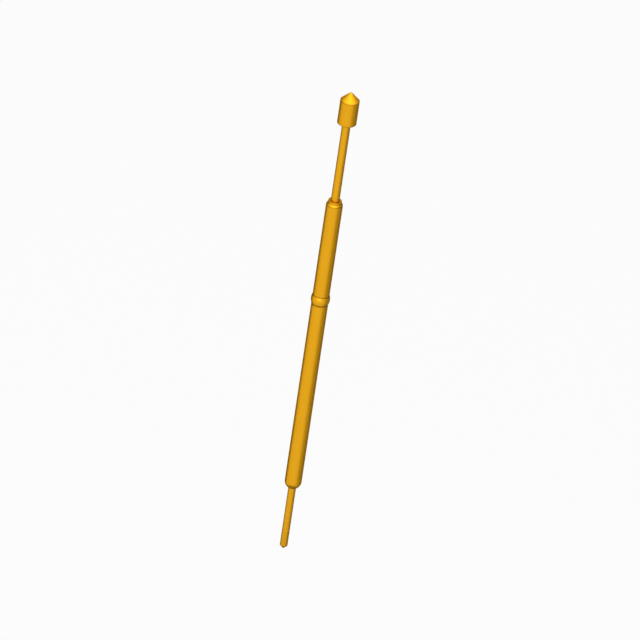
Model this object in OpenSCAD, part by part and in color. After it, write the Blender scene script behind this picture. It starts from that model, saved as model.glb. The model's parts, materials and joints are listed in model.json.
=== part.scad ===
// Spring-loaded contact probe (pogo pin), upright, in millimetres.
// A turned plunger slides in a drawn barrel against a compression spring, and a
// turned tail pin closes the barrel's lower end. The origin is on the axis, at
// the underside of the press ring, where the barrel seats in its fixture.

/* [Barrel] */
// Outside diameter of the barrel
barrel_d = 1.36; // [1.26:0.01:1.5]
// Wall of the drawn tube
barrel_wall = 0.13; // [0.1:0.005:0.15]
// Length from the underside of the press ring up to the mouth
barrel_above = 9.52; // [9:0.1:14]
// Length from the underside of the press ring down to the hole in the bottom
barrel_below = 17.1; // [15:0.1:24]

/* [Press ring] */
// Outside diameter of the press ring
ring_d = 1.54; // [1.5:0.01:1.7]
// Width of the press ring along the barrel
ring_w = 0.8; // [0.6:0.01:1]

/* [Mouth] */
// Outside diameter of the rolled-in lip
lip_d = 1.1; // [1.02:0.01:1.16]
// Height of the lip above the shoulder
lip_h = 0.19; // [0.12:0.01:0.25]
// Radius of the lip's outer edge
lip_round = 0.03; // [0.02:0.005:0.06]
// Height of the rounded shoulder under the lip
shoulder_h = 0.27; // [0.2:0.01:0.35]

/* [Plunger] */
// Outside diameter of the contact head
head_d = 1.56; // [1.3:0.01:1.8]
// Length of the head's straight side
head_len = 2.1; // [1.5:0.01:3]
// Full angle of the contact point
tip_angle = 90; // [60:1:120]
// Radius at the very end of the contact point
tip_round = 0.03; // [0.01:0.005:0.06]
// Bevel round the lower edge of the head
head_bevel = 0.02; // [0.01:0.005:0.08]
// Diameter of the stem
stem_d = 0.7; // [0.64:0.01:0.72]
// Bare stem between the mouth and the head with the plunger out
stem_len = 7.18; // [7:0.01:9]
// Length of the guide that slides in the barrel
guide_len = 3; // [2:0.1:4]

/* [Tail pin] */
// Diameter of the tail
tail_d = 0.62; // [0.5:0.01:0.7]
// Length of the tail below the barrel, with its point
tail_len = 5.67; // [4:0.01:9]
// Full angle of the tail's point
tail_angle = 90; // [60:1:120]
// Length of the plug inside the barrel, with its round lower end
plug_len = 1.8; // [1:0.1:3]

/* [Spring] */
// Diameter of the spring's wire
wire_d = 0.18; // [0.14:0.01:0.2]
// Number of open turns
open_turns = 40; // [30:1:44]
// Number of closed turns at each end
closed_turns = 2; // [1:1:3]
// Diameter of the pilots that hold the spring's ends on the axis
pilot_d = 0.48; // [0.4:0.01:0.5]
// Length of each pilot
pilot_len = 0.4; // [0.3:0.05:0.6]

/* [Fits] */
// Gap round the stem and the guide, on the radius
run_gap = 0.02; // [0.015:0.001:0.025]
// Gap at a face where one piece rests on another
seat_gap = 0.01; // [0.01:0.001:0.02]
// Gap between the spring and the wall of the barrel, on the radius
spring_gap = 0.05; // [0.04:0.01:0.07]

/* [Hidden] */
$fn = 96;

// Radii worked out from the diameters above
barrel_r = barrel_d / 2;
bore_r = barrel_r - barrel_wall;
ring_r = ring_d / 2;
lip_r = lip_d / 2;
head_r = head_d / 2;
stem_r = stem_d / 2;
tail_r = tail_d / 2;
pilot_r = pilot_d / 2;
wire_r = wire_d / 2;
mouth_r = stem_r + run_gap;
guide_r = bore_r - run_gap;
plug_r = bore_r - seat_gap;
hole_r = tail_r + seat_gap;
coil_r = bore_r - spring_gap - wire_r;

// Heights along the axis
mouth_z = barrel_above;
shoulder_z = mouth_z - lip_h - shoulder_h;
bottom_z = -barrel_below;
tail_z = bottom_z - tail_len;
guide_top_z = mouth_z - barrel_wall - run_gap;
guide_end_z = guide_top_z - guide_len;
head_z = mouth_z + stem_len;
rim_z = head_z + head_len;

// Rolled mouth and the guide's edge that stops under it
mouth_roll = bore_r - mouth_r;
guide_roll = mouth_roll - run_gap;

// Spun bottom: a half sphere with a hole for the tail
bottom_mid_z = bottom_z + sqrt(pow(barrel_r, 2) - pow(hole_r, 2));
plug_top_z = bottom_mid_z - plug_r + plug_len;

// Bevel on the ends that meet the spring
edge_bevel = 0.06;

// Press ring: an arc through its two feet and its crest
ring_rise = ring_r - barrel_r;
ring_arc = (ring_w * ring_w / 4 + ring_rise * ring_rise) / (2 * ring_rise);
ring_mid_z = ring_w / 2;

// Spring between the plug and the guide
spring_low_z = plug_top_z + seat_gap;
spring_high_z = guide_end_z - seat_gap;
closed_pitch = wire_d + 0.005;
open_len = spring_high_z - spring_low_z - wire_d - 2 * closed_turns * closed_pitch;
open_pitch = open_len / open_turns;
lap_angle = 2;
lap_hair = 0.002;

// A band of the half plane right of the axis, from z0 up to z1
module band(r, z0, z1) {
    translate([0, z0])
        square([r, z1 - z0]);
}

// A disc centred at (r, z), without what would cross the axis
module disc(r, z, radius) {
    intersection() {
        translate([r, z])
            circle(radius);
        band(r + radius, z - radius, z + radius);
    }
}

// Outline of the press ring, swollen by an arc of the given radius
module ring_swell(arc) {
    intersection() {
        translate([ring_r - ring_arc, ring_mid_z])
            circle(arc);
        band(ring_r, 0, ring_w);
    }
}

// Outside of the barrel as a filled half section
module barrel_outside() {
    band(hole_r, bottom_z, mouth_z);
    band(barrel_r, bottom_mid_z, shoulder_z);
    disc(0, bottom_mid_z, barrel_r);
    ring_swell(ring_arc);
    shoulder_outside();
    lip_outside();
}

// Rounded shoulder: a convex arc from the barrel's side in to the lip
module shoulder_outside() {
    roll_in = barrel_r - lip_r;
    arc = (shoulder_h * shoulder_h + roll_in * roll_in) / (2 * roll_in);
    intersection() {
        translate([barrel_r - arc, shoulder_z])
            circle(arc);
        band(barrel_r, shoulder_z - shoulder_h, shoulder_z + shoulder_h);
    }
}

// Lip with a rounded outer edge
module lip_outside() {
    band(lip_r, shoulder_z, mouth_z - lip_round);
    band(lip_r - lip_round, shoulder_z, mouth_z);
    disc(lip_r - lip_round, mouth_z - lip_round, lip_round);
}

// Room inside the barrel as a filled half section
module barrel_room() {
    roll_z = mouth_z - barrel_wall - mouth_roll;
    band(mouth_r, bottom_mid_z, mouth_z + barrel_wall);
    disc(mouth_r, roll_z, mouth_roll);
    band(bore_r, bottom_mid_z, roll_z);
    disc(0, bottom_mid_z, bore_r);
    band(hole_r, bottom_z - barrel_wall, roll_z);
    ring_swell(ring_arc - barrel_wall);
}

module barrel() {
    color([0.85, 0.62, 0.16])
        rotate_extrude()
            difference() {
                barrel_outside();
                barrel_room();
            }
}

// Turned plunger: point, head, stem, guide and pilot in one piece
module plunger() {
    half = tip_angle / 2;
    point_z = rim_z + head_r / tan(half);
    ball_z = point_z - tip_round / sin(half);
    color([0.88, 0.66, 0.2])
        rotate_extrude() {
            polygon([
                [0, head_z],
                [head_r - head_bevel, head_z],
                [head_r, head_z + head_bevel],
                [head_r, rim_z],
                [tip_round * cos(half), ball_z + tip_round * sin(half)],
                [0, ball_z + tip_round * sin(half)],
            ]);
            disc(0, ball_z, tip_round);
            band(stem_r, guide_end_z + edge_bevel, head_z + head_bevel);
            bevel_foot(guide_r, guide_end_z, guide_top_z - guide_roll);
            band(guide_r - guide_roll, guide_end_z + edge_bevel, guide_top_z);
            disc(guide_r - guide_roll, guide_top_z - guide_roll, guide_roll);
            bevel_foot(pilot_r, guide_end_z - pilot_len, guide_top_z);
        }
}

// A band from z0 up to z1 with a bevelled lower end
module bevel_foot(r, z0, z1) {
    polygon([[0, z0], [r - edge_bevel, z0], [r, z0 + edge_bevel], [r, z1], [0, z1]]);
}

// A band from z0 up to z1 with a bevelled upper end
module bevel_top(r, z0, z1) {
    polygon([[0, z0], [r, z0], [r, z1 - edge_bevel], [r - edge_bevel, z1], [0, z1]]);
}

// Turned tail pin: tail, plug and pilot in one piece
module tail_pin() {
    cone_h = tail_r / tan(tail_angle / 2);
    color([0.85, 0.62, 0.16])
        rotate_extrude() {
            polygon([
                [0, tail_z],
                [tail_r, tail_z + cone_h],
                [tail_r, bottom_mid_z],
                [0, bottom_mid_z],
            ]);
            disc(0, bottom_mid_z, plug_r);
            bevel_top(plug_r, bottom_mid_z, plug_top_z);
            bevel_top(pilot_r, bottom_mid_z, plug_top_z + pilot_len);
        }
}

// Rise of half turn i, counted from the lower end
function rise(i) = (i < 2 * closed_turns || i >= 2 * (closed_turns + open_turns))
    ? closed_pitch / 2
    : open_pitch / 2;

// Height of the wire's centre at the start of half turn i
function start_z(i) = i == 0 ? spring_low_z + wire_r : start_z(i - 1) + rise(i - 1);

// Half a turn of wire from (side * coil_r, 0, z) to the other side, climbing by h.
// It laps both neighbours a little, and every other one is a hair thicker, so
// that the half turns fuse into one wire.
module half_turn(z, h, side) {
    reach = sqrt(coil_r * coil_r + h * h / 4);
    tilt = atan(h / 2 / coil_r);
    thick = side > 0 ? wire_r + lap_hair : wire_r;
    translate([0, 0, z + h / 2])
        rotate([0, tilt, side > 0 ? 0 : 180])
            rotate([0, 0, -lap_angle])
                rotate_extrude(angle = 180 + 2 * lap_angle)
                    translate([reach, 0])
                        circle(thick);
}

module spring() {
    half_turns = 2 * (open_turns + 2 * closed_turns);
    color([0.75, 0.76, 0.78])
        for (i = [0 : half_turns - 1])
            half_turn(start_z(i), rise(i), i % 2 == 0 ? 1 : -1);
}

plunger();
barrel();
tail_pin();
spring();
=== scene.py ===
# %% [markdown]
# # A spring-loaded contact pin
# The real pin has four pieces: a turned plunger with a pointed head, a drawn
# barrel with a rolled mouth and a press ring, a turned tail pin, and a spring
# of thin wire inside. Three of them are round bodies, so each is one outline
# spun about the axis; the spring follows a rule, so Geometry Nodes wind it.
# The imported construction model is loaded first: it says where everything is.

# %% Load the frame
import json
import math

import bmesh
import bpy
from mathutils import Matrix, Vector


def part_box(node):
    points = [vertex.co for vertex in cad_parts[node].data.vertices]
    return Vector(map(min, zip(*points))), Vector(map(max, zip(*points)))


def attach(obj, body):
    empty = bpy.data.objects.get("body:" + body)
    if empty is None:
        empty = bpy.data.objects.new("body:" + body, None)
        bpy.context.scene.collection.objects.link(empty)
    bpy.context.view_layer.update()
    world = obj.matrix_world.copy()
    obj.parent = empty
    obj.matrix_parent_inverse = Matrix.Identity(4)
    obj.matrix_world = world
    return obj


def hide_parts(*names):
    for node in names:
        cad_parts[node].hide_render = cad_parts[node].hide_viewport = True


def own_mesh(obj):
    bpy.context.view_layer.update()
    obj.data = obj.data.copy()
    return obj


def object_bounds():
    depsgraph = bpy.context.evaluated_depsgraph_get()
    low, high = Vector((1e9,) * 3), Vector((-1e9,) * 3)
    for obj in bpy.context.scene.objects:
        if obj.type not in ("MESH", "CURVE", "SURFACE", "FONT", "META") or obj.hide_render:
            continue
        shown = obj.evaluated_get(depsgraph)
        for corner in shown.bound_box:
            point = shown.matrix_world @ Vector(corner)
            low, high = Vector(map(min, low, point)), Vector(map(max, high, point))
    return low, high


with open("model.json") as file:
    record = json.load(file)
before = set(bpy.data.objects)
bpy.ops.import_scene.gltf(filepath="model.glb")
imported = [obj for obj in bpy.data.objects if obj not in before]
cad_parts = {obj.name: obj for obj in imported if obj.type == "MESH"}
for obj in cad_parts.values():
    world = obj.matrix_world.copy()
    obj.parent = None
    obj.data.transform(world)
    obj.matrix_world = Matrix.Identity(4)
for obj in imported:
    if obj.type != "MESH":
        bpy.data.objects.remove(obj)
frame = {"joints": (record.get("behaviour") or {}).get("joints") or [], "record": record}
cad_low, cad_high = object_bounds()
print("construction model, mm:", [round(v * 1000, 2) for v in (*cad_low, *cad_high)])

# %% [markdown]
# ## Sizes
# Blender works in metres here, and the pin's sizes are hundredths of a
# millimetre, so every size is written in millimetres times MM. Heights and
# radii that the construction model knows are read from it; the small rolls,
# bevels and roundings of the metal are named below.

# %% Sizes read from the frame
MM = 0.001
mounts = {mount["name"]: mount for mount in frame["record"]["mounts"]}

plunger_low, plunger_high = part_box("plunger")
barrel_low, barrel_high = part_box("barrel")
tail_low, tail_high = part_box("tail_pin")

head_r = plunger_high.x
ring_r = barrel_high.x
plug_r = tail_high.x
barrel_r = mounts["barrel_seat"]["dims"]["r_mm"] * MM
tail_r = mounts["tail_terminal"]["dims"]["r_mm"] * MM
mouth_z = barrel_high.z
bottom_z = barrel_low.z
print("barrel from", round(bottom_z / MM, 2), "to", round(mouth_z / MM, 2), "mm")

# %% Sizes of the metalwork
wall = 0.13 * MM
bore_r = barrel_r - wall
stem_r = 0.35 * MM
mouth_r = 0.37 * MM
guide_r = 0.53 * MM
pilot_r = 0.24 * MM
pilot_len = 0.4 * MM
lip_r = 0.55 * MM
lip_h = 0.19 * MM
shoulder_h = 0.27 * MM
ring_w = 0.8 * MM
head_len = 2.1 * MM
guide_len = 3 * MM
guide_gap = 0.02 * MM
seat_gap = 0.01 * MM
hole_r = tail_r + seat_gap
end_bevel = 0.06 * MM

# %% [markdown]
# ## Outlines
# A lathe or a spinning roller leaves no knife edge: every corner carries a
# small rounding, and that rounding is what catches the light along an edge.
# An outline is a list of corners (radius, height, rounding). The helper below
# turns each corner into a short arc, and it adds a point close to each end of
# a long straight side, so that smooth shading stays flat along the side.

# %% Arcs and rounded outlines
def arc(mid_r, mid_z, radius, start, end, steps):
    """Points of an arc about (mid_r, mid_z), from angle start to end in degrees."""
    points = []
    for i in range(steps + 1):
        angle = math.radians(start + (end - start) * i / steps)
        points.append((mid_r + radius * math.cos(angle), mid_z + radius * math.sin(angle)))
    return points


def corner_points(before, corner, after, rounding, steps=6):
    """The corner of two straight sides, replaced by an arc that touches both."""
    here = Vector(corner)
    back = (Vector(before) - here).normalized()
    ahead = (Vector(after) - here).normalized()
    half = back.angle(ahead) / 2
    reach = rounding / math.tan(half)
    middle = here + (back + ahead).normalized() * rounding / math.sin(half)
    start = here + back * reach - middle
    end = here + ahead * reach - middle
    sweep = start.angle_signed(end)
    points = []
    for i in range(steps + 1):
        turn = Matrix.Rotation(-sweep * i / steps, 2)
        points.append(tuple(middle + turn @ start))
    return points


def outline(corners):
    """An outline from its corners (radius, height, rounding); a rounding of 0 keeps the point."""
    points = []
    for i, (r, z, rounding) in enumerate(corners):
        if rounding and 0 < i < len(corners) - 1:
            points += corner_points(corners[i - 1][:2], (r, z), corners[i + 1][:2], rounding)
        else:
            points.append((r, z))
    return points


# %% Guard points on the long sides
GUARD = 0.02 * MM


def guarded(points, closed=False):
    """The outline with a point near both ends of each long side."""
    out = []
    pairs = list(zip(points, points[1:] + points[:1]))
    for here, there in pairs if closed else pairs[:-1]:
        out.append(here)
        span = Vector(there) - Vector(here)
        if span.length > 5 * GUARD:
            step = span.normalized() * GUARD
            out.append(tuple(Vector(here) + step))
            out.append(tuple(Vector(there) - step))
    return out if closed else out + [points[-1]]


# %% [markdown]
# ## Spinning an outline
# Spinning leaves one ring of points for each point of the outline. Where the
# outline meets the axis the ring shrinks to one point, the pole, so that the
# tip is closed by triangles and no faces fold onto each other.

# %% Spin an outline about the axis
AROUND = 128


def spin(name, points, closed=False):
    """A round piece from its outline, which runs up the outside (and down the inside if closed)."""
    bm = bmesh.new()
    rings = []
    for r, z in points:
        if r < 1e-9:
            rings.append([bm.verts.new((0, 0, z))])
            continue
        ring = []
        for j in range(AROUND):
            angle = 2 * math.pi * j / AROUND
            ring.append(bm.verts.new((r * math.cos(angle), r * math.sin(angle), z)))
        rings.append(ring)
    following = rings[1:] + (rings[:1] if closed else [])
    for low, high in zip(rings, following):
        for j in range(AROUND):
            k = (j + 1) % AROUND
            if len(low) == 1:
                bm.faces.new((low[0], high[k], high[j]))
            elif len(high) == 1:
                bm.faces.new((low[j], low[k], high[0]))
            else:
                bm.faces.new((low[j], low[k], high[k], high[j]))
    for face in bm.faces:
        face.smooth = True
    mesh = bpy.data.meshes.new(name)
    bm.to_mesh(mesh)
    bm.free()
    piece = bpy.data.objects.new(name, mesh)
    bpy.context.scene.collection.objects.link(piece)
    print(name, "has", len(mesh.vertices), "points and", len(mesh.polygons), "faces")
    return piece


# %% [markdown]
# ## The plunger
# One turned pin: from the pilot that centres the spring, up over the guide
# that slides in the bore, along the slim stem to the head with its 90 degree
# point. The point itself is not a needle: it ends in a radius of 0.03 mm.

# %% Plunger
guide_end_z = plunger_low.z + pilot_len
guide_top_z = guide_end_z + guide_len
guide_round = bore_r - mouth_r - guide_gap
tip_round = 0.03 * MM
tip_start = 0.022 * MM
cone_point_z = plunger_high.z + tip_round * (math.sqrt(2) - 1)
rim_z = cone_point_z - head_r
head_z = rim_z - head_len
edge = 0.02 * MM

plunger_outline = outline([
    (0, plunger_low.z, 0),
    (pilot_r - end_bevel, plunger_low.z, edge / 2),
    (pilot_r, plunger_low.z + end_bevel, edge / 2),
    (pilot_r, guide_end_z, edge),
    (guide_r - end_bevel, guide_end_z, edge / 2),
    (guide_r, guide_end_z + end_bevel, edge / 2),
    (guide_r, guide_top_z, guide_round),
    (stem_r, guide_top_z, edge / 2),
    (stem_r, head_z, edge),
    (head_r, head_z, edge),
    (head_r, rim_z, edge),
    (tip_start, cone_point_z - tip_start, 0),
])
plunger_outline += arc(0, plunger_high.z - tip_round, tip_round, 45, 90, 6)[1:-1]
plunger_outline.append((0, plunger_high.z))
plunger = spin("turned_plunger", guarded(plunger_outline))

# %% [markdown]
# ## The barrel
# A drawn tube is rolled in at the mouth until only the stem fits through, so
# it has a small stepped lip and a rounded shoulder. A roller inside a die
# swells the press ring, inside and out. The other end is spun into a half
# sphere round the tail. Its outline runs up the outside and down the inside.

# %% Barrel
ring_rise = ring_r - barrel_r
ring_arc = (ring_w ** 2 / 4 + ring_rise ** 2) / (2 * ring_rise)
ring_mid = (ring_r - ring_arc, ring_w / 2)
ring_half = math.degrees(math.asin(ring_w / 2 / ring_arc))
groove_arc = ring_arc - wall
groove_half = math.degrees(math.acos((bore_r - ring_mid[0]) / groove_arc))

ball_z = bottom_z + math.sqrt(barrel_r ** 2 - hole_r ** 2)
ball_start = -math.degrees(math.acos(hole_r / barrel_r))
room_start = -math.degrees(math.acos(hole_r / bore_r))

roll_in = barrel_r - lip_r
shoulder_arc = (shoulder_h ** 2 + roll_in ** 2) / (2 * roll_in)
shoulder_z = mouth_z - lip_h - shoulder_h
shoulder_end = math.degrees(math.asin(shoulder_h / shoulder_arc))
mouth_roll = bore_r - mouth_r
roll_z = mouth_z - wall - mouth_roll
lip_edge = 0.03 * MM
bore_edge = 0.01 * MM

barrel_outline = arc(0, ball_z, barrel_r, ball_start, 0, 20)
barrel_outline += arc(*ring_mid, ring_arc, -ring_half, ring_half, 20)
barrel_outline += arc(barrel_r - shoulder_arc, shoulder_z, shoulder_arc, 0, shoulder_end, 10)
barrel_outline += arc(lip_r - lip_edge, mouth_z - lip_edge, lip_edge, 0, 90, 6)
barrel_outline += arc(mouth_r + bore_edge, mouth_z - bore_edge, bore_edge, 90, 180, 4)
barrel_outline += arc(mouth_r, roll_z, mouth_roll, 90, 0, 10)
barrel_outline += arc(*ring_mid, groove_arc, groove_half, -groove_half, 16)
barrel_outline += arc(0, ball_z, bore_r, 0, room_start, 16)
barrel = spin("drawn_barrel", guarded(barrel_outline, closed=True), closed=True)

# %% [markdown]
# ## The tail pin
# The tail is turned too: its plug fills the bottom of the bore with a round
# end, the spring stands on its flat top, and the thin tail leaves through the
# hole with a 90 degree point.

# %% Tail pin
plug_top_z = tail_high.z - pilot_len
tail_edge = math.degrees(math.acos(tail_r / plug_r))
tail_tip = 0.02 * MM

tail_outline = outline([
    (0, tail_low.z, 0),
    (tail_tip, tail_low.z + tail_tip, 0),
    (tail_r, tail_low.z + tail_r, edge),
    (tail_r, ball_z - plug_r * math.sin(math.radians(tail_edge)), 0),
])
tail_outline += arc(0, ball_z, plug_r, -tail_edge, 0, 12)[1:]
tail_outline += outline([
    (plug_r, ball_z + edge, 0),
    (plug_r, plug_top_z - end_bevel, edge / 2),
    (plug_r - end_bevel, plug_top_z, edge / 2),
    (pilot_r, plug_top_z, edge),
    (pilot_r, tail_high.z - end_bevel, edge / 2),
    (pilot_r - end_bevel, tail_high.z, edge / 2),
    (0, tail_high.z, 0),
])
tail = spin("turned_tail_pin", guarded(tail_outline))

# %% [markdown]
# ## The spring
# A spring is a wire along a helix, and a helix is a rule: the height of a
# point depends only on how many turns it is along the wire. Closed turns at
# both ends lie against each other, and the open turns between them share what
# is left of the length. Geometry Nodes work that out for every point of a
# line, then sweep the wire's round section along it.

# %% A small helper for node trees of shapes
class Winding:
    """A Geometry Nodes tree under construction."""

    def __init__(self, name, inputs):
        self.tree = bpy.data.node_groups.new(name, "GeometryNodeTree")
        face = self.tree.interface
        face.new_socket("Geometry", in_out="OUTPUT", socket_type="NodeSocketGeometry")
        self.keys = {}
        for title, kind in inputs:
            socket = face.new_socket(title, in_out="INPUT", socket_type="NodeSocket" + kind)
            self.keys[title] = socket.identifier
        self.entry = self.tree.nodes.new("NodeGroupInput")
        self.exit = self.tree.nodes.new("NodeGroupOutput")

    def given(self, title):
        return self.entry.outputs[title]

    def node(self, kind, settings=None, sockets=None):
        node = self.tree.nodes.new(kind)
        for key, value in (settings or {}).items():
            setattr(node, key, value)
        for key, value in (sockets or {}).items():
            if isinstance(value, bpy.types.NodeSocket):
                self.tree.links.new(value, node.inputs[key])
            else:
                node.inputs[key].default_value = value
        return node

    def math(self, operation, a, b=0.0):
        node = self.node("ShaderNodeMath", {"operation": operation}, {0: a, 1: b})
        return node.outputs[0]


# %% The spring's winding rule
POINTS_PER_TURN = 28
wire_sides = 12
winding = Winding("wound_spring", [
    ("Wire radius", "Float"),
    ("Coil radius", "Float"),
    ("Open turns", "Float"),
    ("Closed turns", "Float"),
    ("Closed pitch", "Float"),
    ("Open pitch", "Float"),
    ("Foot height", "Float"),
    ("Wire", "Material"),
])
closed_both = winding.math("MULTIPLY", winding.given("Closed turns"), 2.0)
all_turns = winding.math("ADD", winding.given("Open turns"), closed_both)
point_count = winding.math("MULTIPLY", all_turns, float(POINTS_PER_TURN))
line = winding.node("GeometryNodeMeshLine", {"mode": "OFFSET"}, {"Count": point_count})
index = winding.node("GeometryNodeInputIndex").outputs[0]
last = winding.math("SUBTRACT", point_count, 1.0)
share = winding.math("DIVIDE", index, last)
turn = winding.math("MULTIPLY", share, all_turns)

# %% Height and place of each point of the wire
past_foot = winding.math("SUBTRACT", turn, winding.given("Closed turns"))
past_foot = winding.math("MAXIMUM", past_foot, 0.0)
open_part = winding.math("MINIMUM", past_foot, winding.given("Open turns"))
closed_part = winding.math("SUBTRACT", turn, open_part)
open_rise = winding.math("MULTIPLY", open_part, winding.given("Open pitch"))
closed_rise = winding.math("MULTIPLY", closed_part, winding.given("Closed pitch"))
height = winding.math("ADD", winding.math("ADD", open_rise, closed_rise), winding.given("Foot height"))
angle = winding.math("MULTIPLY", turn, 2 * math.pi)
place = winding.node("ShaderNodeCombineXYZ", None, {
    "X": winding.math("MULTIPLY", winding.math("COSINE", angle), winding.given("Coil radius")),
    "Y": winding.math("MULTIPLY", winding.math("SINE", angle), winding.given("Coil radius")),
    "Z": height,
})
helix = winding.node("GeometryNodeSetPosition", None, {
    "Geometry": line.outputs[0],
    "Position": place.outputs[0],
})

# %% Sweep the wire's section along the helix
path = winding.node("GeometryNodeMeshToCurve", None, {"Mesh": helix.outputs[0]})
section = winding.node("GeometryNodeCurvePrimitiveCircle", {"mode": "RADIUS"}, {
    "Resolution": wire_sides,
    "Radius": winding.given("Wire radius"),
})
swept = winding.node("GeometryNodeCurveToMesh", None, {
    "Curve": path.outputs[0],
    "Profile Curve": section.outputs[0],
    "Fill Caps": True,
})
smooth = winding.node("GeometryNodeSetShadeSmooth", None, {"Geometry": swept.outputs[0]})
real = winding.node("GeometryNodeRealizeInstances", None, {"Geometry": smooth.outputs[0]})
painted = winding.node("GeometryNodeSetMaterial", None, {
    "Geometry": real.outputs[0],
    "Material": winding.given("Wire"),
})
winding.tree.links.new(painted.outputs[0], winding.exit.inputs[0])
print("winding rule has", len(winding.tree.nodes), "nodes")

# %% [markdown]
# ## Writing finishes as sums
# A finish is easier to read as a formula than as boxes and wires, so a small
# class wraps a socket, and each operator adds the Math node that does it.
# Colours go through Mix nodes, because a Math node would turn them grey.

# %% Formulas for finishes
class Term:
    """A number that varies over a surface; sums and products add Math nodes."""

    def __init__(self, finish, socket):
        self.finish = finish
        self.socket = socket

    def math(self, operation, first, second=None):
        values = {0: first} if second is None else {0: first, 1: second}
        node = self.finish.node("ShaderNodeMath", {"operation": operation}, values)
        return Term(self.finish, node.outputs[0])

    def __add__(self, other):
        return self.math("ADD", self, other)

    __radd__ = __add__

    def __mul__(self, other):
        return self.math("MULTIPLY", self, other)

    __rmul__ = __mul__

    def __sub__(self, other):
        return self.math("SUBTRACT", self, other)

    def __rsub__(self, other):
        return self.math("SUBTRACT", other, self)

    def __truediv__(self, other):
        return self.math("DIVIDE", self, other)

    def root(self):
        return self.math("SQRT", self)

    def at_least(self, other):
        return self.math("MAXIMUM", self, other)

    def near(self, value, width):
        """1 at a value, falling to 0 at a width on either side of it."""
        away = self.math("ABSOLUTE", self - value)
        return (1 - away / width).at_least(0.0)


# %% A finish under construction
class Finish:
    """A material or a world built from one shader and the nodes that vary it."""

    def __init__(self, name, owner=None):
        self.material = owner or bpy.data.materials.new(name)
        self.material.use_nodes = True
        self.nodes = self.material.node_tree.nodes
        self.links = self.material.node_tree.links
        self.shader = self.nodes.get("Principled BSDF") or self.nodes["Background"]
        self.output = self.nodes.get("Material Output") or self.nodes["World Output"]

    def plug(self, node, key, value):
        if isinstance(value, Term):
            self.links.new(value.socket, node.inputs[key])
        elif isinstance(value, bpy.types.NodeSocket):
            self.links.new(value, node.inputs[key])
        else:
            node.inputs[key].default_value = value

    def node(self, kind, settings=None, sockets=None):
        node = self.nodes.new(kind)
        for key, value in (settings or {}).items():
            setattr(node, key, value)
        for key, value in (sockets or {}).items():
            self.plug(node, key, value)
        return node

    def place(self):
        """Object coordinates as three terms."""
        coordinate = self.node("ShaderNodeTexCoord")
        split = self.node("ShaderNodeSeparateXYZ", None, {0: coordinate.outputs["Object"]})
        return [Term(self, split.outputs[i]) for i in range(3)]

    def noise(self, x, y, z, detail=2.0, roughness=0.5):
        """Noise from 0 to 1 at (x, y, z)."""
        where = self.node("ShaderNodeCombineXYZ", None, {0: x, 1: y, 2: z})
        node = self.node("ShaderNodeTexNoise", None, {
            "Vector": where.outputs[0],
            "Scale": 1.0,
            "Detail": detail,
            "Roughness": roughness,
        })
        return Term(self, node.outputs[0])

    def blend(self, share, first, second):
        """A colour between two, by a share from 0 to 1."""
        node = self.node("ShaderNodeMix", {"data_type": "RGBA"}, {0: share, 6: first, 7: second})
        return node.outputs[2]

    def set(self, **values):
        """Sockets of the shader, with spaces in their names written as underscores."""
        for key, value in values.items():
            self.plug(self.shader, key.replace("_", " "), value)

    def bump(self, height, depth):
        """Relief of the given depth in metres."""
        node = self.node("ShaderNodeBump", None, {"Strength": 1.0, "Distance": depth, "Height": height})
        self.set(Normal=node.outputs[0])

    def whiten(self, kind, share):
        """Look white to the camera, to metal and to glass, by a share from 0 to 1."""
        path = self.node("ShaderNodeLightPath")
        camera, metal, glass = (
            Term(self, path.outputs[ray])
            for ray in ("Is Camera Ray", "Is Glossy Ray", "Is Transmission Ray")
        )
        seen = camera.at_least(metal).at_least(glass)
        white = self.node(kind, None, {"Color": (1, 1, 1, 1), "Strength": 1.0})
        mixed = self.node("ShaderNodeMixShader", None, {
            0: seen * share,
            1: self.shader.outputs[0],
            2: white.outputs[0],
        })
        self.links.new(mixed.outputs[0], self.output.inputs["Surface"])


# %% [markdown]
# ## Gold over turned and drawn metal
# The pin is plated with a thin hard gold that copies the metal under it. On
# the turned pieces the tool leaves fine rings round the axis; on the drawn
# barrel the die leaves faint lines along it. Both are far finer than the pin,
# so they show as a soft sheen and a slight unevenness in the roughness. Beside
# each step a thin darker line of painted shade darkens the gold colour.

# %% Gold finishes
GOLD = (0.82, 0.41, 0.014, 1)
GOLD_DEEP = (0.77, 0.37, 0.010, 1)
GOLD_EDGE = (0.55, 0.42, 0.25, 1)
# Painted shade: a dark gold for the thin dark lines beside the steps.
GOLD_PAINTED_SHADE = (0.20, 0.08, 0.003, 1)


def gold(name, marks, mark_depth, steps):
    """Gold plating; marks(finish, x, y, z) gives the pattern that the tool left.

    steps lists the height of each step, how far the painted shade reaches on
    either side of it, and how dark it is.
    """
    finish = Finish(name)
    x, y, z = finish.place()
    pattern = marks(finish, x, y, z)
    cloud = finish.noise(x / (1.1 * MM), y / (1.1 * MM), z / (2.3 * MM), detail=3.0)
    tone = pattern * 0.35 + cloud * 0.65
    # Painted shade: the gold colour darkens near each listed step height.
    painted_shade = sum(z.near(height, reach) * share for height, reach, share in steps)
    finish.set(
        Base_Color=finish.blend(painted_shade, finish.blend(tone, GOLD_DEEP, GOLD), GOLD_PAINTED_SHADE),
        Metallic=0.9,
        Roughness=tone * 0.08 + 0.36,
        Specular_Tint=GOLD_EDGE,
    )
    finish.bump(pattern, mark_depth)
    return finish.material


def turning_marks(finish, x, y, z):
    """Fine rings round the axis: they change along the outline, hardly round it."""
    from_axis = (x * x + y * y).root()
    pitch = 0.03 * MM
    drift = 1.5 * MM
    return finish.noise(from_axis / pitch + x / drift, z / pitch, y / drift, detail=3.0)


def drawing_lines(finish, x, y, z):
    """Faint lines along the tube: they change round the axis, hardly along it."""
    from_axis = (x * x + y * y).root().at_least(0.01 * MM)
    fineness = 22.0
    run = 6 * MM
    return finish.noise(x / from_axis * fineness, y / from_axis * fineness, z / run, detail=3.0)


# Painted shade at the head's rim, under the head, and over the tail's down-facing point.
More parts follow.
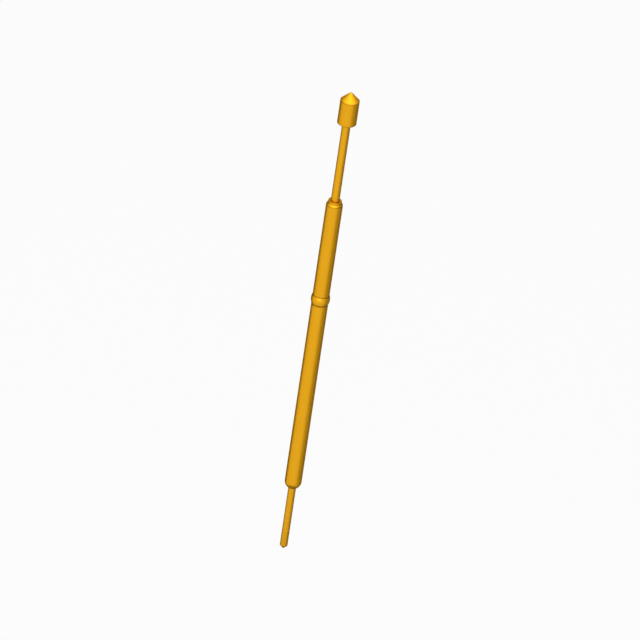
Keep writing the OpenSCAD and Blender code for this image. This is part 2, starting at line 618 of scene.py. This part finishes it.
turned_gold = gold("turned_gold_plating", turning_marks, 0.0006 * MM, [
    (rim_z, 0.09 * MM, 0.55),
    (head_z, 0.09 * MM, 0.8),
    (tail_low.z + 0.1 * MM, 0.3 * MM, 1.0),
])
# Painted shade along the foot and top of the press ring, the shoulder foot, the lip step and the mouth.
drawn_gold = gold("drawn_gold_plating", drawing_lines, 0.0006 * MM, [
    (0.0, 0.1 * MM, 1.0),
    (ring_w, 0.09 * MM, 0.8),
    (shoulder_z + 0.1 * MM, 0.08 * MM, 0.7),
    (mouth_z - lip_h, 0.07 * MM, 0.5),
    (mouth_z, 0.07 * MM, 0.5),
])

# %% [markdown]
# ## Spring wire
# Drawn steel wire is grey and a little satin, with a faint blue-brown cast
# from the heat that set the spring.

# %% Spring wire finish
wire_finish = Finish("drawn_spring_wire")
wx, wy, wz = wire_finish.place()
wire_cloud = wire_finish.noise(wx / (0.12 * MM), wy / (0.12 * MM), wz / (0.4 * MM), detail=3.0)
wire_finish.set(
    Base_Color=wire_finish.blend(wire_cloud, (0.42, 0.41, 0.40, 1), (0.60, 0.60, 0.61, 1)),
    Metallic=1.0,
    Roughness=wire_cloud * 0.12 + 0.26,
)
wire_finish.bump(wire_cloud, 0.0004 * MM)

# %% Wind the spring
wire_r = 0.09 * MM
spring_gap = 0.05 * MM
coil_r = bore_r - spring_gap - wire_r
open_turns = 40
closed_turns = 2
turn_gap = 0.005 * MM
closed_pitch = 2 * wire_r + turn_gap
foot_z = plug_top_z + seat_gap + wire_r
crown_z = guide_end_z - seat_gap - wire_r
open_pitch = (crown_z - foot_z - 2 * closed_turns * closed_pitch) / open_turns
print("open pitch", round(open_pitch / MM, 3), "mm")

spring_seed = bpy.data.objects.new("spring_seed", bpy.data.meshes.new("spring_seed"))
bpy.context.scene.collection.objects.link(spring_seed)
modifier = spring_seed.modifiers.new("winding", "NODES")
modifier.node_group = winding.tree
for title, value in {
    "Wire radius": wire_r,
    "Coil radius": coil_r,
    "Open turns": float(open_turns),
    "Closed turns": float(closed_turns),
    "Closed pitch": closed_pitch,
    "Open pitch": open_pitch,
    "Foot height": foot_z,
    "Wire": wire_finish.material,
}.items():
    modifier[winding.keys[title]] = value

# %% Turn the winding into a plain mesh
depsgraph = bpy.context.evaluated_depsgraph_get()
spring_mesh = bpy.data.meshes.new_from_object(spring_seed.evaluated_get(depsgraph))
bpy.data.objects.remove(spring_seed)
spring_mesh.name = "wound_spring"
spring = bpy.data.objects.new("wound_spring", spring_mesh)
bpy.context.scene.collection.objects.link(spring)
print("wound_spring has", len(spring_mesh.vertices), "points and", len(spring_mesh.polygons), "faces")

# %% [markdown]
# ## Putting the pieces on their bodies
# The plunger slides, everything else stays with the barrel. The spring stands
# on the plug; here it keeps its length and is not squashed as the plunger
# goes in.

# %% Finishes, bodies and slots
plunger.data.materials.append(turned_gold)
barrel.data.materials.append(drawn_gold)
tail.data.materials.append(turned_gold)

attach(plunger, "plunger")
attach(barrel, "barrel")
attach(tail, "barrel")
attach(spring, "barrel")

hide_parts("plunger")
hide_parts("barrel")
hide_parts("tail_pin")
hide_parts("spring")

# %% The spring's length and the stroke
stroke = frame["joints"][0]["range_m"][1]
spring_len = crown_z - foot_z + 2 * wire_r
foot_z - wire_r
(spring_len - stroke) / spring_len
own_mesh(spring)
print("spring", round(spring_len / MM, 2), "mm long, stroke", round(stroke / MM, 2), "mm")

# %% [markdown]
# ## Floor
# The pin is held by its barrel, so the floor lies well below the tail. It is
# plain and pale, and large enough to fill every view from above. The camera and
# the gold see it almost white, and it keeps a share of the pin's soft shadow.

# %% Floor
floor_drop = 40 * MM
floor_half = 400 * MM
floor_z = cad_low.z - floor_drop
floor_mesh = bpy.data.meshes.new("floor")
floor_corners = [(-1, -1), (1, -1), (1, 1), (-1, 1)]
floor_points = [(a * floor_half, b * floor_half, floor_z) for a, b in floor_corners]
floor_mesh.from_pydata(floor_points, [], [(0, 1, 2, 3)])
floor = bpy.data.objects.new("floor", floor_mesh)
bpy.context.scene.collection.objects.link(floor)
floor_finish = Finish("pale_floor")
floor_finish.set(Base_Color=(0.9, 0.9, 0.9, 1), Roughness=0.9)
floor_finish.whiten("ShaderNodeEmission", 0.92)
floor_mesh.materials.append(floor_finish.material)

# %% [markdown]
# ## Grey screens
# Gold shows softly what stands round it. Curved grey screens on the right and
# behind on the left give the round pieces their darker sides, and a grey tray
# under the tail darkens what faces down. Only the gold sees them: they cast no
# shadow and the camera looks through them.

# %% Screens that only the gold sees
def screen(name, corners, faces, tone):
    """A grey piece of the stage that shows in reflections alone."""
    mesh = bpy.data.meshes.new(name)
    mesh.from_pydata(corners, [], faces)
    piece = bpy.data.objects.new(name, mesh)
    bpy.context.scene.collection.objects.link(piece)
    finish = Finish(name)
    finish.set(Base_Color=(tone, tone, tone, 1), Roughness=1.0)
    mesh.materials.append(finish.material)
    piece.visible_camera = False
    piece.visible_shadow = False
    piece.visible_diffuse = False


def curved_screen(name, first, last, tone):
    """An upright screen round the pin between two azimuths in degrees."""
    steps = 16
    radius = 33 * MM
    top_z = cad_high.z + 12 * MM
    corners = []
    for i in range(steps + 1):
        a = math.radians(first + (last - first) * i / steps)
        x, y = radius * math.sin(a), -radius * math.cos(a)
        corners += [(x, y, floor_z + 1 * MM), (x, y, top_z)]
    faces = [(2 * i, 2 * i + 2, 2 * i + 3, 2 * i + 1) for i in range(steps)]
    screen(name, corners, faces, tone)


curved_screen("right_screen", 52, 100, 0.72)
curved_screen("far_right_screen", 100, 150, 0.25)
curved_screen("left_screen", 215, 257, 0.1)
tray_r = 12 * MM
tray_z = cad_low.z - 8 * MM
tray_rim = [k * math.tau / 32 for k in range(32)]
tray_corners = [(tray_r * math.cos(a), tray_r * math.sin(a), tray_z) for a in tray_rim]
screen("under_tray", tray_corners, [tuple(range(32))], 0.25)
print("tray", round((cad_low.z - tray_z) / MM, 1), "mm under the tail")

# %% [markdown]
# ## Light
# One large soft lamp from the upper left and front does the modelling. A
# weaker one from the right widens its highlights, a low one in front lights the
# crest of the press ring, and a pale surrounding light fills the shadows.

# %% Lamps and surrounding light
middle = Vector((0, 0, (cad_low.z + cad_high.z) / 2))


def lamp(name, azimuth, elevation, distance, size, power):
    """A square lamp that faces the pin; azimuth 0 is the viewer's side, positive to the right."""
    data = bpy.data.lights.new(name, "AREA")
    data.shape = "SQUARE"
    data.size = size
    data.energy = power
    a = math.radians(azimuth)
    e = math.radians(elevation)
    way = Vector((math.sin(a) * math.cos(e), -math.cos(a) * math.cos(e), math.sin(e)))
    light = bpy.data.objects.new(name, data)
    light.location = middle + way * distance
    light.rotation_euler = way.to_track_quat("Z", "Y").to_euler()
    bpy.context.scene.collection.objects.link(light)
    return light


lamp("key_lamp", -25, 50, 0.4, 0.6, 0.85)
lamp("right_lamp", 40, 50, 0.5, 0.6, 0.7)
lamp("front_lamp", -12, 16, 0.5, 0.4, 0.5)

world = bpy.data.worlds.new("surrounding_light")
bpy.context.scene.world = world
surrounding = Finish("surrounding_light", world)
surrounding.set(Color=(1, 1, 1, 1), Strength=0.35)
surrounding.whiten("ShaderNodeBackground", 1.0)

# %% [markdown]
# ## Camera
# The pin is seen without perspective, from 30 degrees above, and the camera
# is rolled so that the pin leans a little to the right.

# %% Camera
view_elevation = math.radians(30)
lean = math.radians(8.503)
view_width = 50.88 * MM
view_distance = 150 * MM
shift_right = 0.22 * MM
shift_down = 0.0 * MM

plain_right = Vector((1, 0, 0))
plain_up = Vector((0, math.sin(view_elevation), math.cos(view_elevation)))
toward = Vector((0, -math.cos(view_elevation), math.sin(view_elevation)))
right = plain_right * math.cos(lean) + plain_up * math.sin(lean)
up = plain_up * math.cos(lean) - plain_right * math.sin(lean)

camera_data = bpy.data.cameras.new("camera")
camera_data.type = "ORTHO"
camera_data.ortho_scale = view_width
camera_data.clip_start = 1 * MM
camera_data.clip_end = 2.0
camera = bpy.data.objects.new("camera", camera_data)
bpy.context.scene.collection.objects.link(camera)
spot = middle + right * shift_right - up * shift_down + toward * view_distance
turned = Matrix((right, up, toward)).transposed()
camera.matrix_world = Matrix.Translation(spot) @ turned.to_4x4()
bpy.context.scene.camera = camera
bpy.context.scene.view_settings.view_transform = "Standard"
